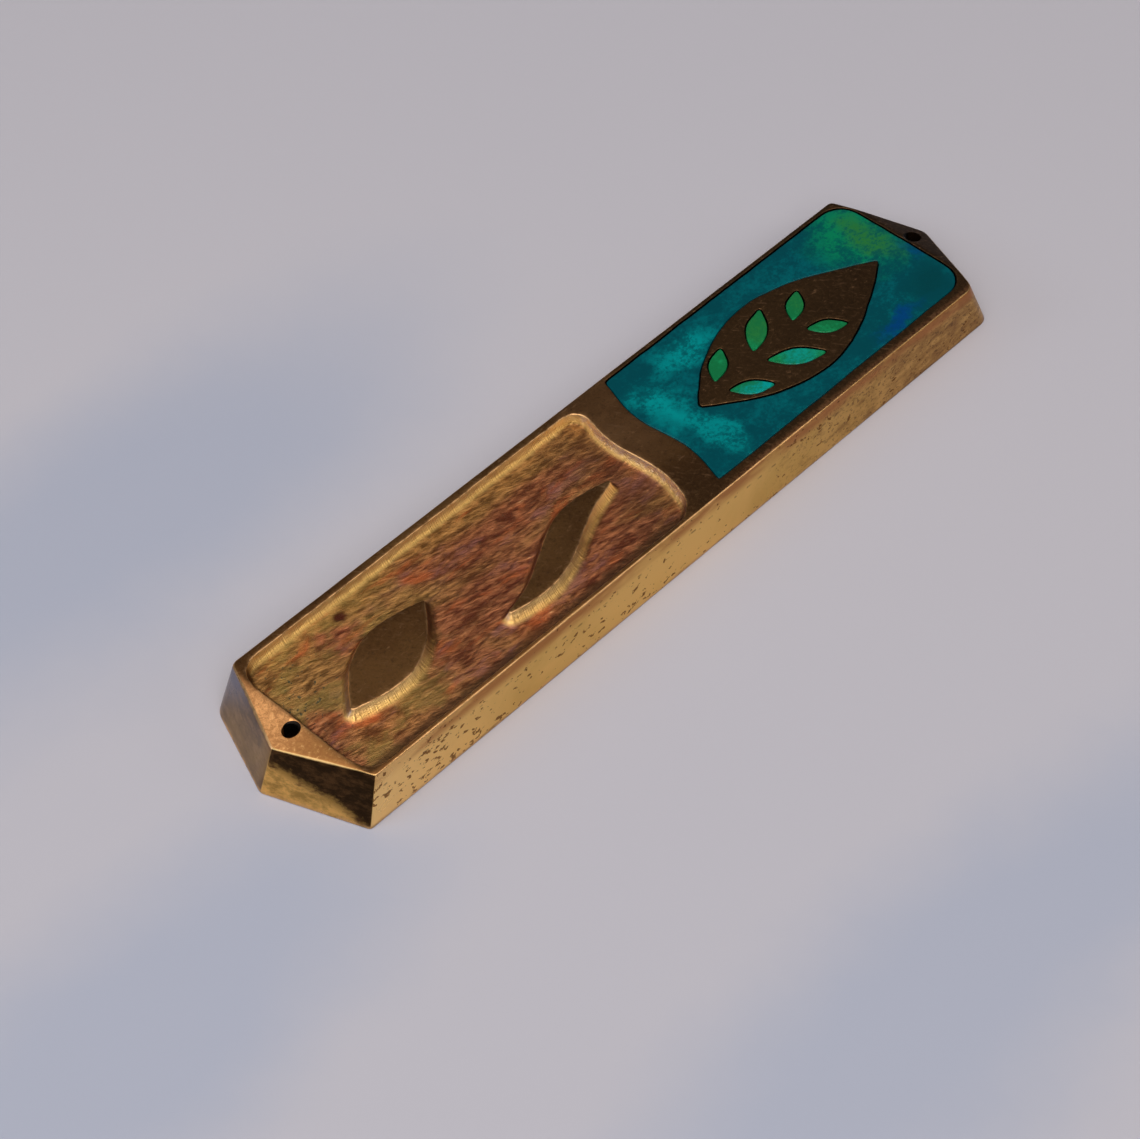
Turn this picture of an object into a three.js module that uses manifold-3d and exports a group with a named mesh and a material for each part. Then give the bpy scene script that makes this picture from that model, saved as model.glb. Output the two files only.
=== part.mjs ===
// A mezuzah case: a flat, six-sided cast brass bar with pointed ends. Its front is carved, and the
// upper part of the front is filled with enamel. Its back is hollow for the scroll, and a thin
// plate that slides in two grooves closes the hollow.
//
// Millimetres. +Z points out of the front, +Y to the enamelled top end, and +X to the right as
// seen from the front. The origin is the middle of the back face, which lies on the doorpost.

import * as THREE from "three";
import Module from "manifold-3d";
import { mergeVertices } from "three/addons/utils/BufferGeometryUtils.js";
import { ConvexGeometry } from "three/addons/geometries/ConvexGeometry.js";

// ---- driving dimensions ----------------------------------------------------------------------

// The bar: a long frustum whose walls flare towards the back.
const OVERALL_LENGTH = 130;
const BACK_WIDTH = 28;
const FRONT_WIDTH = 25.6;
const HEIGHT = 7.3;
const SHOULDER_Y = 57; // where the long sides turn into the pointed ends, at the front
const FRONT_TIP_Y = 61.9; // where the two end facets would meet at the front, before the pads

// The nail pads: flats that slope from the front down to each point of the bar.
const LOWER_PAD = { end: -1, startY: 57.5, slope: 0.2, nailHoleY: 59.1 };
const UPPER_PAD = { end: 1, startY: 58.3, slope: 0.33, nailHoleY: 59.9 };
const NAIL_HOLE_RADIUS = 1.1;

// The carved front: one hollow with two leaves standing in it, and one pocket for enamel.
const HOLLOW_FIELD = { end: -1, endY: 57.5, leftRim: 1.15, rightRim: 0.6, cornerRadius: 3 };
const ENAMEL_FIELD = { end: 1, endY: 58.1, leftRim: 0.65, rightRim: 1.75, cornerRadius: 3.8 };
const RELIEF_DEPTH = 1.4;
const RELIEF_DRAFT = 0.45;
const ENAMEL_POCKET_DEPTH = 1.15;
const ENAMEL_GAP = 0.2;
const ENAMEL_BELOW_RIM = 0.18;
const ENAMEL_FLOOR_GAP = 0.15;

// The band between the hollow and the enamel runs from rim to rim in a low wave.
const BAND_LOWER_Y = 2.6;
const BAND_UPPER_Y = 8.0;
const BAND_LEAN = -0.09;
const BAND_WAVE = 0.7;
const BAND_WAVE_LENGTH = 19;

// The back: scroll chamber, plate grooves and the opening between the groove lips. The grooves run
// out through the top end in a slot, where the plate goes in.
const CHAMBER = { width: 14, length: 107, ceiling: 4.8, cornerRadius: 1 };
const GROOVE = { width: 17.4, bottom: 0.5, top: 1.5, lowerEndY: -56 };
const BACK_OPENING = { width: 13, length: 112, cornerRadius: 1.5 };
const PLATE = { width: 17, thickness: 0.6, lowerEndY: -55.6, upperEndY: 56.6, cornerRadius: 1 };
const PLATE_PULL_HOLE = { radius: 1.5, y: 51.5 };

// The scroll: a parchment sheet rolled flat, in a clear sleeve that is open at both ends.
const SCROLL = { length: 100, width: 11.6, height: 2.5, sheet: 0.16, pitch: 0.3, turns: 3.75 };
const SLEEVE = { length: 103, width: 12.6, height: 3.0, wall: 0.12 };
const SCROLL_CENTRE_Z = 3.05;

const CURVE_STEPS = 36;
const OVERSHOOT = 1; // how far a cut runs past the face that it opens
const THROUGH = 30; // longer than the case is deep, for cuts that go right through

// ---- materials -------------------------------------------------------------------------------

const castBrass = () => new THREE.MeshStandardMaterial({ color: 0x9a7438, roughness: 0.38, metalness: 1 });
const rolledBrass = () => new THREE.MeshStandardMaterial({ color: 0xb8934c, roughness: 0.3, metalness: 1 });
const tealEnamel = () => new THREE.MeshStandardMaterial({ color: 0x07656c, roughness: 0.2, metalness: 0 });
const greenEnamel = () => new THREE.MeshStandardMaterial({ color: 0x1d8f62, roughness: 0.2, metalness: 0 });
const parchment = () => new THREE.MeshStandardMaterial({ color: 0xe6d8b8, roughness: 0.75, metalness: 0 });
const clearFilm = () => new THREE.MeshStandardMaterial({
  color: 0xe8eef0, roughness: 0.12, metalness: 0, transparent: true, opacity: 0.35,
});

// ---- solids ----------------------------------------------------------------------------------

const wasm = await Module();
wasm.setup();

/** A closed three.js geometry as a manifold solid. */
function solid(geometry) {
  const bare = geometry.clone();
  bare.deleteAttribute("normal");
  bare.deleteAttribute("uv");
  const merged = mergeVertices(bare, 1e-5);
  return new wasm.Manifold(new wasm.Mesh({
    numProp: 3,
    vertProperties: new Float32Array(merged.attributes.position.array),
    triVerts: new Uint32Array(merged.index.array),
  }));
}

/** A manifold solid back as a three.js geometry. */
function geometryOf(body) {
  const mesh = body.getMesh();
  const geometry = new THREE.BufferGeometry();
  geometry.setAttribute("position", new THREE.BufferAttribute(mesh.vertProperties, 3));
  geometry.setIndex(new THREE.BufferAttribute(mesh.triVerts, 1));
  geometry.computeVertexNormals();
  return geometry;
}

/** A flat shape raised into a prism from one height to another. */
function prism(shape, fromZ, toZ) {
  const geometry = new THREE.ExtrudeGeometry(shape, { depth: toZ - fromZ, bevelEnabled: false });
  return geometry.translate(0, 0, fromZ);
}

/** A box from its middle in plan, its size in plan, and its lower and upper heights. */
function block(centreY, width, length, fromZ, toZ) {
  const geometry = new THREE.BoxGeometry(width, length, toZ - fromZ);
  return geometry.translate(0, centreY, (fromZ + toZ) / 2);
}

/** A round rod along Z, right through the case. */
function rodThrough(radius, y) {
  const rod = new THREE.CylinderGeometry(radius, radius, THROUGH, CURVE_STEPS);
  return rod.rotateX(Math.PI / 2).translate(0, y, 0);
}

// ---- outlines --------------------------------------------------------------------------------

function roundedRectangle(width, length, radius, centreY = 0) {
  const x = width / 2 - radius;
  const y = length / 2 - radius;
  const shape = new THREE.Shape();
  shape.absarc(x, centreY + y, radius, 0, Math.PI / 2, false);
  shape.absarc(-x, centreY + y, radius, Math.PI / 2, Math.PI, false);
  shape.absarc(-x, centreY - y, radius, Math.PI, Math.PI * 1.5, false);
  shape.absarc(x, centreY - y, radius, Math.PI * 1.5, Math.PI * 2, false);
  return shape;
}

/** Where an edge of the waved band lies, for a place across the bar. */
function bandEdge(baseY, x) {
  return baseY + BAND_LEAN * x + BAND_WAVE * Math.sin((2 * Math.PI * x) / BAND_WAVE_LENGTH);
}

/**
 * The outline of a field between a band edge and one end of the bar, which is 1 for the top and
 * -1 for the bottom. It is drawn inset all round by a gap.
 */
function fieldOutline({ end, endY, leftRim, rightRim, cornerRadius }, bandY, inset) {
  const left = -FRONT_WIDTH / 2 + leftRim + inset;
  const right = FRONT_WIDTH / 2 - rightRim - inset;
  const radius = cornerRadius - inset;
  const cornerY = end * (endY - cornerRadius);
  const clockwise = end < 0;
  const shape = new THREE.Shape();
  for (let i = 0; i <= CURVE_STEPS; i++) {
    const x = THREE.MathUtils.lerp(left, right, i / CURVE_STEPS);
    const y = bandEdge(bandY, x) + end * inset;
    if (i === 0) shape.moveTo(x, y);
    else shape.lineTo(x, y);
  }
  shape.absarc(right - radius, cornerY, radius, 0, (end * Math.PI) / 2, clockwise);
  shape.absarc(left + radius, cornerY, radius, (end * Math.PI) / 2, end * Math.PI, clockwise);
  return shape;
}

/**
 * A leaf: a pointed oval along a line from its stalk end to its tip. The middle line may sway in
 * an S, and belly moves the widest place towards the tip (above 1) or the stalk (below 1).
 */
function leafOutline({ stalk, tip, halfWidth, sway = 0, belly = 1, grow = 0 }) {
  const start = new THREE.Vector2(...stalk);
  const along = new THREE.Vector2(...tip).sub(start);
  const direction = along.clone().normalize();
  const across = new THREE.Vector2(-direction.y, direction.x);
  start.addScaledVector(direction, -grow);
  along.addScaledVector(direction, 2 * grow);
  const side = (sign) => (_, i) => {
    const t = i / CURVE_STEPS;
    const width = (halfWidth + grow) * Math.sin(Math.PI * t ** belly);
    const offset = sway * Math.sin(2 * Math.PI * t) + sign * width;
    return start.clone().addScaledVector(along, t).addScaledVector(across, offset);
  };
  const rightSide = Array.from({ length: CURVE_STEPS }, side(-1));
  const leftSide = Array.from({ length: CURVE_STEPS + 1 }, side(1)).slice(1).reverse();
  return new THREE.Shape([...rightSide, ...leftSide]);
}

const ENAMEL_LEAF = { stalk: [0.2, 15], tip: [-0.2, 52.5], halfWidth: 7.9, belly: 0.9 };
const WILLOW_LEAF = { stalk: [6.6, -28.5], tip: [0.8, -2.6], halfWidth: 2.3, sway: -1.1, belly: 1.1 };
const OLIVE_LEAF = { stalk: [3.4, -52], tip: [-2.6, -33.5], halfWidth: 4.1, belly: 1 };

// Six small cells stand in pairs on both sides of the enamel leaf's midrib, like its veins.
const CELL_ROWS = [
  { stalkY: 19.6, reach: 3.9, halfWidth: 1.4 },
  { stalkY: 27.3, reach: 5.0, halfWidth: 1.6 },
  { stalkY: 35.4, reach: 3.6, halfWidth: 1.35 },
];
const CELL_START_X = 1.1;
const CELL_RISE = 1.4; // how far a cell climbs for each millimetre that it reaches outwards

function cellOutline(row, side, grow) {
  const stalk = [side * CELL_START_X, row.stalkY];
  const tip = [side * (CELL_START_X + row.reach), row.stalkY + CELL_RISE * row.reach];
  return leafOutline({ stalk, tip, halfWidth: row.halfWidth, grow });
}

const CELLS = CELL_ROWS.flatMap((row) => [-1, 1].map((side) => ({ row, side })));

// ---- the cast case ---------------------------------------------------------------------------

/** The six corners of the bar at one height: width, place of the shoulders and of the points. */
function hexagon(width, shoulderY, tipY, z) {
  const corners = [];
  for (const end of [-1, 1]) {
    corners.push(new THREE.Vector3(-width / 2, end * shoulderY, z));
    corners.push(new THREE.Vector3(width / 2, end * shoulderY, z));
    corners.push(new THREE.Vector3(0, end * tipY, z));
  }
  return corners;
}

function barBlank() {
  const endSlant = (FRONT_TIP_Y - SHOULDER_Y) / (FRONT_WIDTH / 2);
  const backShoulderY = OVERALL_LENGTH / 2 - endSlant * (BACK_WIDTH / 2);
  const back = hexagon(BACK_WIDTH, backShoulderY, OVERALL_LENGTH / 2, 0);
  const front = hexagon(FRONT_WIDTH, SHOULDER_Y, FRONT_TIP_Y, HEIGHT);
  return solid(new ConvexGeometry([...back, ...front]));
}

/** The stock above a nail pad, from the pad's plane upwards. */
function padCut({ end, startY, slope }) {
  const geometry = new THREE.BoxGeometry(THROUGH, THROUGH, THROUGH).translate(0, THROUGH / 2, THROUGH / 2);
  geometry.rotateX(-Math.atan(slope)).translate(0, startY, HEIGHT);
  if (end < 0) geometry.rotateZ(Math.PI);
  return solid(geometry);
}

/** A shape raised with walls that lean by the draft over the relief's depth, at both its ends. */
function draftedPrism(shape) {
  return new THREE.ExtrudeGeometry(shape, {
    depth: OVERSHOOT,
    bevelEnabled: true,
    bevelThickness: RELIEF_DEPTH,
    bevelSize: RELIEF_DRAFT,
    bevelSegments: 1,
  });
}

/** A leaf that stands in the hollow on walls that widen towards the floor. */
function standingLeaf(leaf) {
  const geometry = draftedPrism(leafOutline(leaf));
  return solid(geometry.translate(0, 0, HEIGHT - RELIEF_DEPTH - OVERSHOOT));
}

function carvedHollow() {
  const geometry = draftedPrism(fieldOutline(HOLLOW_FIELD, BAND_LOWER_Y, RELIEF_DRAFT));
  const hollow = solid(geometry.translate(0, 0, HEIGHT));
  return hollow.subtract(standingLeaf(WILLOW_LEAF)).subtract(standingLeaf(OLIVE_LEAF));
}

function enamelPockets() {
  const floor = HEIGHT - ENAMEL_POCKET_DEPTH;
  const above = HEIGHT + OVERSHOOT;
  const leaf = solid(prism(leafOutline(ENAMEL_LEAF), floor - OVERSHOOT, above));
  let pockets = solid(prism(fieldOutline(ENAMEL_FIELD, BAND_UPPER_Y, 0), floor, above)).subtract(leaf);
  for (const { row, side } of CELLS) {
    pockets = pockets.add(solid(prism(cellOutline(row, side, 0), floor, above)));
  }
  return pockets;
}

function backHollows() {
  const plan = roundedRectangle(CHAMBER.width, CHAMBER.length, CHAMBER.cornerRadius);
  const grooveMiddle = (GROOVE.bottom + GROOVE.top) / 2;
  const chamber = solid(prism(plan, grooveMiddle, CHAMBER.ceiling));
  const slotEndY = OVERALL_LENGTH / 2 + OVERSHOOT;
  const length = slotEndY - GROOVE.lowerEndY;
  const centreY = (slotEndY + GROOVE.lowerEndY) / 2;
  const groove = solid(block(centreY, GROOVE.width, length, GROOVE.bottom, GROOVE.top));
  const openingPlan = roundedRectangle(BACK_OPENING.width, BACK_OPENING.length, BACK_OPENING.cornerRadius);
  const opening = solid(prism(openingPlan, -OVERSHOOT, grooveMiddle));
  return chamber.add(groove).add(opening);
}

function caseBody() {
  let body = barBlank();
  for (const pad of [LOWER_PAD, UPPER_PAD]) {
    const nailHole = solid(rodThrough(NAIL_HOLE_RADIUS, pad.end * pad.nailHoleY));
    body = body.subtract(padCut(pad)).subtract(nailHole);
  }
  body = body.subtract(carvedHollow()).subtract(enamelPockets()).subtract(backHollows());
  return geometryOf(body);
}

// ---- enamel ----------------------------------------------------------------------------------

const ENAMEL_BOTTOM = HEIGHT - ENAMEL_POCKET_DEPTH + ENAMEL_FLOOR_GAP;
const ENAMEL_TOP = HEIGHT - ENAMEL_BELOW_RIM;

/** The enamel round the leaf, in one piece. */
function enamelField() {
  const shape = fieldOutline(ENAMEL_FIELD, BAND_UPPER_Y, ENAMEL_GAP);
  shape.holes.push(leafOutline({ ...ENAMEL_LEAF, grow: ENAMEL_GAP }));
  return prism(shape, ENAMEL_BOTTOM, ENAMEL_TOP);
}

function enamelCell({ row, side }) {
  return prism(cellOutline(row, side, -ENAMEL_GAP), ENAMEL_BOTTOM, ENAMEL_TOP);
}

// ---- back plate ------------------------------------------------------------------------------

function backPlate() {
  const length = PLATE.upperEndY - PLATE.lowerEndY;
  const centreY = (PLATE.upperEndY + PLATE.lowerEndY) / 2;
  const shape = roundedRectangle(PLATE.width, length, PLATE.cornerRadius, centreY);
  const pullHole = new THREE.Path();
  pullHole.absarc(0, PLATE_PULL_HOLE.y, PLATE_PULL_HOLE.radius, 0, Math.PI * 2, true);
  shape.holes.push(pullHole);
  const bottom = (GROOVE.bottom + GROOVE.top - PLATE.thickness) / 2;
  return prism(shape, bottom, bottom + PLATE.thickness);
}

// ---- scroll and sleeve -----------------------------------------------------------------------

/** A point on a flat oval: two half circles of a radius, whose centres are a distance apart. */
function flatOvalPoint(radius, centreSpan, turn) {
  const arc = Math.PI * radius;
  const along = (turn % 1) * 2 * (centreSpan + arc);
  const half = centreSpan / 2;
  if (along < centreSpan) return new THREE.Vector2(half - along, radius);
  if (along < centreSpan + arc) {
    const angle = Math.PI / 2 + (along - centreSpan) / radius;
    return new THREE.Vector2(-half + radius * Math.cos(angle), radius * Math.sin(angle));
  }
  const back = along - centreSpan - arc;
  if (back < centreSpan) return new THREE.Vector2(-half + back, -radius);
  const angle = -Math.PI / 2 + (back - centreSpan) / radius;
  return new THREE.Vector2(half + radius * Math.cos(angle), radius * Math.sin(angle));
}

/** A section drawn in width and height, raised along the bar's length. */
function lengthwise(shape, length) {
  const geometry = new THREE.ExtrudeGeometry(shape, { depth: length, bevelEnabled: false });
  return geometry.translate(0, 0, -length / 2).rotateX(Math.PI / 2).translate(0, 0, SCROLL_CENTRE_Z);
}

/** The parchment's section: one sheet rolled inwards in a flat spiral. */
function scroll() {
  const stepsPerTurn = CURVE_STEPS;
  const outerRadius = (SCROLL.height - SCROLL.sheet) / 2;
  const centreSpan = SCROLL.width - SCROLL.height;
  const total = Math.round(SCROLL.turns * stepsPerTurn);
  const face = (offset) => Array.from({ length: total + 1 }, (_, i) => {
    const turn = i / stepsPerTurn;
    return flatOvalPoint(outerRadius - SCROLL.pitch * turn + offset, centreSpan, turn);
  });
  const outside = face(SCROLL.sheet / 2);
  const inside = face(-SCROLL.sheet / 2).reverse();
  return lengthwise(new THREE.Shape([...outside, ...inside]), SCROLL.length);
}

function flatOval(width, height) {
  const radius = height / 2;
  const half = (width - height) / 2;
  const shape = new THREE.Shape();
  shape.absarc(half, 0, radius, -Math.PI / 2, Math.PI / 2, false);
  shape.absarc(-half, 0, radius, Math.PI / 2, Math.PI * 1.5, false);
  return shape;
}

function scrollSleeve() {
  const shape = flatOval(SLEEVE.width, SLEEVE.height);
  shape.holes.push(flatOval(SLEEVE.width - 2 * SLEEVE.wall, SLEEVE.height - 2 * SLEEVE.wall));
  return lengthwise(shape, SLEEVE.length);
}

// ---- assembly --------------------------------------------------------------------------------

function named(name, geometry, material) {
  const mesh = new THREE.Mesh(geometry, material);
  mesh.name = name;
  return mesh;
}

const mezuzahCase = new THREE.Group();
mezuzahCase.add(named("case_body", caseBody(), castBrass()));
mezuzahCase.add(named("enamel_field", enamelField(), tealEnamel()));
CELLS.forEach((cell, i) => {
  mezuzahCase.add(named(`enamel_cell_${i + 1}`, enamelCell(cell), greenEnamel()));
});
mezuzahCase.add(named("back_plate", backPlate(), rolledBrass()));

const scrollPack = new THREE.Group();
scrollPack.add(named("scroll", scroll(), parchment()));
scrollPack.add(named("scroll_sleeve", scrollSleeve(), clearFilm()));
mezuzahCase.add(scrollPack);

export default mezuzahCase;
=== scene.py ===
"""Looks for a mezuzah case: aged cast brass with a carved front, enamel, a back plate and a scroll.

Shapes are worked out in millimetres in the CAD frame and turned into metres when a mesh is made.
+Z is out of the case's front, +Y is towards its enamelled end, and its back lies at Z 0.
"""

import math

import bpy
import numpy as np
from mathutils import Matrix, Vector
from mathutils.geometry import delaunay_2d_cdt
from mathutils.kdtree import KDTree


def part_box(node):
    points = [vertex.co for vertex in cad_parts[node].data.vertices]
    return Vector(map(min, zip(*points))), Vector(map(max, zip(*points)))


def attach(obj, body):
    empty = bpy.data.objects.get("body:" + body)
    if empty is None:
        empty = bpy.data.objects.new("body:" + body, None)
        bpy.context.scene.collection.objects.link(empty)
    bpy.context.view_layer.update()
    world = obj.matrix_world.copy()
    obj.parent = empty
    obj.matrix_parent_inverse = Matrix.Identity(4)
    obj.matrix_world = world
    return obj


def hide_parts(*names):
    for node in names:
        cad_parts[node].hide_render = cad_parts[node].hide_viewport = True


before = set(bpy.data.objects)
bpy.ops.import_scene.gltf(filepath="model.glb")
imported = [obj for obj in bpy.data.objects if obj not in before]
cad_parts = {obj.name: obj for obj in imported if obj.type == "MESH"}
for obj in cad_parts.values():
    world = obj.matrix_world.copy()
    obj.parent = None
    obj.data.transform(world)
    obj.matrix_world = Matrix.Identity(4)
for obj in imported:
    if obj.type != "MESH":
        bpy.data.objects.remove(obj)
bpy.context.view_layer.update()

MM = 0.001


# ---- dimensions, in millimetres ----

def box_mm(node):
    """The lowest and highest corner of a CAD node, in millimetres."""
    low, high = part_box(node)
    return np.array(low) / MM, np.array(high) / MM


CASE_LOW, CASE_HIGH = box_mm("case_body")
LENGTH = CASE_HIGH[1] - CASE_LOW[1]
BACK_WIDTH = CASE_HIGH[0] - CASE_LOW[0]
HEIGHT = CASE_HIGH[2]

FRONT_WIDTH = 25.6
SHOULDER_Y = 57.0
FRONT_TIP_Y = 61.9
END_SLANT = (FRONT_TIP_Y - SHOULDER_Y) / (FRONT_WIDTH / 2)
BACK_SHOULDER_Y = LENGTH / 2 - END_SLANT * BACK_WIDTH / 2

LOWER_PAD = dict(end=-1, start_y=57.5, slope=0.2, nail_hole_y=59.1)
UPPER_PAD = dict(end=1, start_y=58.3, slope=0.33, nail_hole_y=59.9)
NAIL_HOLE_RADIUS = 1.1

HOLLOW_FIELD = dict(end=-1, end_y=57.5, left_rim=1.15, right_rim=0.6, radius=3.0)
ENAMEL_FIELD = dict(end=1, end_y=58.1, left_rim=0.65, right_rim=1.75, radius=3.8)
RELIEF_DEPTH = 1.4
ENAMEL_POCKET_DEPTH = 1.15
ENAMEL_BELOW_RIM = 0.12
ENAMEL_GAP = 0.18

BAND_LOWER_Y = 2.6
BAND_UPPER_Y = 8.0
BAND_LEAN = -0.09
BAND_WAVE = 0.7
BAND_WAVE_LENGTH = 19.0

CHAMBER_WIDTH, CHAMBER_LENGTH, CHAMBER_CEILING = 14.0, 107.0, 4.8
GROOVE_WIDTH, GROOVE_BOTTOM, GROOVE_TOP, GROOVE_END_Y = 17.4, 0.5, 1.5, -56.0
OPENING_WIDTH, OPENING_LENGTH, OPENING_CORNER = 13.0, 112.0, 1.5
PULL_HOLE_Y, PULL_HOLE_RADIUS = 51.5, 1.5
SCROLL_SHEET, SCROLL_PITCH, SCROLL_TURNS = 0.16, 0.3, 3.75
SLEEVE_WALL = 0.12

ENAMEL_LEAF = dict(stalk=(0.2, 15.0), tip=(-0.2, 52.5), half_width=7.9, belly=0.9)
WILLOW_LEAF = dict(stalk=(6.6, -28.5), tip=(0.8, -2.6), half_width=2.3, sway=-1.1, belly=1.1)
OLIVE_LEAF = dict(stalk=(3.4, -52.0), tip=(-2.6, -33.5), half_width=4.1)
CELL_ROWS = [(19.6, 3.9, 1.4), (27.3, 5.0, 1.6), (35.4, 3.6, 1.35)]  # stalk height, reach, half width
CELL_START_X = 1.1
CELL_RISE = 1.4


# ---- repeatable noise ----

def lattice(ix, iy, seed):
    """A repeatable number from -1 to 1 for each pair of whole numbers."""
    mixed = (ix * 374761393 + iy * 668265263 + seed * 2246822519) & 0xFFFFFFFF
    mixed = ((mixed ^ (mixed >> 13)) * 1274126177) & 0xFFFFFFFF
    mixed = ((mixed ^ (mixed >> 16)) * 2654435761) & 0xFFFFFFFF
    return ((mixed >> 8) & 0xFFFF) / 32767.5 - 1.0


def noise(x, y=0.0, seed=0):
    """Smooth noise from -1 to 1, with features one unit apart."""
    x, y = np.broadcast_arrays(np.asarray(x, float), np.asarray(y, float))
    ix, iy = np.floor(x).astype(np.int64), np.floor(y).astype(np.int64)
    fx, fy = x - ix, y - iy
    fx, fy = fx * fx * (3 - 2 * fx), fy * fy * (3 - 2 * fy)
    low = lattice(ix, iy, seed) * (1 - fx) + lattice(ix + 1, iy, seed) * fx
    high = lattice(ix, iy + 1, seed) * (1 - fx) + lattice(ix + 1, iy + 1, seed) * fx
    return low * (1 - fy) + high * fy


def fractal(x, y=0.0, octaves=3, seed=0):
    """Noise with finer and weaker noise added to it."""
    return sum(noise(x * 2**k, y * 2**k, seed + k) / 2**k for k in range(octaves))


def smoothstep(low, high, value):
    t = np.clip((value - low) / (high - low), 0, 1)
    return t * t * (3 - 2 * t)


# ---- heights of the front ----

def front_z(x, y):
    """The height of the flats: level in the middle, and sloping down over the nail pads."""
    bend = 0.16
    drops = [pad["slope"] * bend * np.logaddexp(0, (pad["end"] * y - pad["start_y"]) / bend)
             for pad in (LOWER_PAD, UPPER_PAD)]
    return HEIGHT - sum(drops) + 0.012 * fractal(x / 5, y / 7, seed=3)


def furrows(x, y):
    """How high the carved floor stands at a point, as crisp ridges between the graver's furrows."""
    drift = x + 0.6 * fractal(x / 5, y / 10, seed=11) + 0.16 * noise(x / 1.5, y / 2.4, seed=12)
    broad = 0.5 - 1.6 * np.abs(noise(drift / 0.75, y / 5.2, seed=14))
    narrow = 0.5 - 1.6 * np.abs(noise(drift / 0.40, y / 2.6, seed=15))
    return 0.022 * broad + 0.030 * narrow + 0.022 * noise(x / 0.34, y / 0.8, seed=16)


def floor_z(x, y):
    """The height of the carved floor."""
    return HEIGHT - RELIEF_DEPTH + 0.075 * fractal(x / 5, y / 9, seed=13) + furrows(x, y)


# ---- outlines ----

def resample(points, step):
    """A closed line as evenly spaced points."""
    closed = np.vstack([points, points[:1]])
    lengths = np.linalg.norm(np.diff(closed, axis=0), axis=1)
    along = np.concatenate([[0], np.cumsum(lengths)])
    count = max(12, int(round(along[-1] / step)))
    places = np.arange(count) * along[-1] / count
    return np.column_stack([np.interp(places, along, closed[:, k]) for k in (0, 1)])


def blur(values, radius, step):
    """Values at even steps round a closed line, smoothed along it."""
    waves = np.fft.fftfreq(len(values), d=step)
    return np.fft.ifft(np.fft.fft(values) * np.exp(-2 * (math.pi * radius * waves) ** 2))


def soften(points, radius, step):
    """Rounds the corners of an evenly spaced closed line."""
    line = blur(points[:, 0] + 1j * points[:, 1], radius, step)
    return np.column_stack([line.real, line.imag])


def curve(start, corner, stop, t):
    """The round way past a corner, as t goes from 0 to 1."""
    return (1 - t) ** 2 * start + 2 * t * (1 - t) * corner + t**2 * stop


def outward(points):
    """The unit normals of a closed anticlockwise line."""
    tangent = np.roll(points, -1, 0) - np.roll(points, 1, 0)
    normals = np.column_stack([tangent[:, 1], -tangent[:, 0]])
    return normals / np.linalg.norm(normals, axis=1)[:, None]


class Outline:
    """A closed anticlockwise line: evenly spaced points, outward normals and distance along it."""

    def __init__(self, points, step=0.2, radius=0.3, wobble=0.0, seed=0):
        fine = 0.05
        points = resample(soften(resample(points, fine), radius, fine), step)
        self.points, self.step = points, step
        self.along = np.arange(len(points)) * step
        self.normals = outward(points)
        if wobble:
            self.points = self.offset(wobble * fractal(self.along / 4, seed=seed))
            self.normals = outward(self.points)

    def offset(self, distance):
        """The points moved outwards by a distance, but less round bends too tight for it."""
        before, after = np.roll(self.normals, 2, 0), np.roll(self.normals, -2, 0)
        bend = (before[:, 0] * after[:, 1] - before[:, 1] * after[:, 0]) / (4 * self.step)
        neighbours = round(1.2 / self.step)
        unlimited = 4.0

        def room(bends):
            """How far the points may move towards the inside of their bends."""
            tightest = np.max([np.roll(bends, k) for k in range(-neighbours, neighbours + 1)], axis=0)
            free = np.minimum(0.5 / np.maximum(tightest, 1e-3), unlimited)
            return blur(free, 0.4, self.step).real

        limit = np.where(distance < 0, room(bend), room(-bend))
        return self.points + self.normals * (distance / np.sqrt(1 + (distance / limit) ** 2))[:, None]


def bridge(start, heading, stop, arriving):
    """A round end from one line to another, which it leaves and meets along their own directions."""
    roundness = 1.9
    pull = roundness * np.linalg.norm(stop - start)
    t = np.linspace(0, 1, 14)[1:-1, None]
    return ((2 * t**3 - 3 * t**2 + 1) * start + (t**3 - 2 * t**2 + t) * pull * heading
            + (3 * t**2 - 2 * t**3) * stop + (t**3 - t**2) * pull * arriving)


def leaf_line(stalk, tip, half_width, sway=0.0, belly=1.0, blunt=0.24):
    """A long oval from its stalk end to its tip, with blunt ends. Its middle line may sway in an S."""
    stalk, along = np.array(stalk), np.array(tip) - np.array(stalk)
    length = np.linalg.norm(along)
    forward = along / length
    left = np.array([-forward[1], forward[0]])
    beyond = 0.6 * blunt * max(0, length / (math.pi * half_width) - 1)
    stalk, along = stalk - beyond * forward, along + 2 * beyond * forward
    t = np.linspace(0, 1, 400)[:, None]
    middle = stalk + t * along + sway * np.sin(2 * math.pi * t) * left
    half = half_width * np.sin(math.pi * t**belly)
    wide = half[:, 0] > blunt
    right_side, left_side = (middle - half * left)[wide], (middle + half * left)[wide][::-1]

    def rounding(side, other):
        leaving, arriving = side[-1] - side[-2], other[1] - other[0]
        return bridge(side[-1], leaving / np.linalg.norm(leaving),
                      other[0], arriving / np.linalg.norm(arriving))

    tip_end, stalk_end = rounding(right_side, left_side), rounding(left_side, right_side)
    return np.vstack([right_side, tip_end, left_side, stalk_end])


def arc(centre, radius, start, stop):
    angles = np.radians(np.linspace(start, stop, 24))
    return np.array(centre) + radius * np.column_stack([np.cos(angles), np.sin(angles)])


def rounded_rectangle(width, length, radius, centre_y=0.0):
    x, y = width / 2 - radius, length / 2 - radius
    corners = [(x, y, 0), (-x, y, 90), (-x, -y, 180), (x, -y, 270)]
    return np.vstack([arc((cx, centre_y + cy), radius, a, a + 90) for cx, cy, a in corners])


def band_edge(base_y, x):
    return base_y + BAND_LEAN * x + BAND_WAVE * np.sin(2 * math.pi * x / BAND_WAVE_LENGTH)


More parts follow.
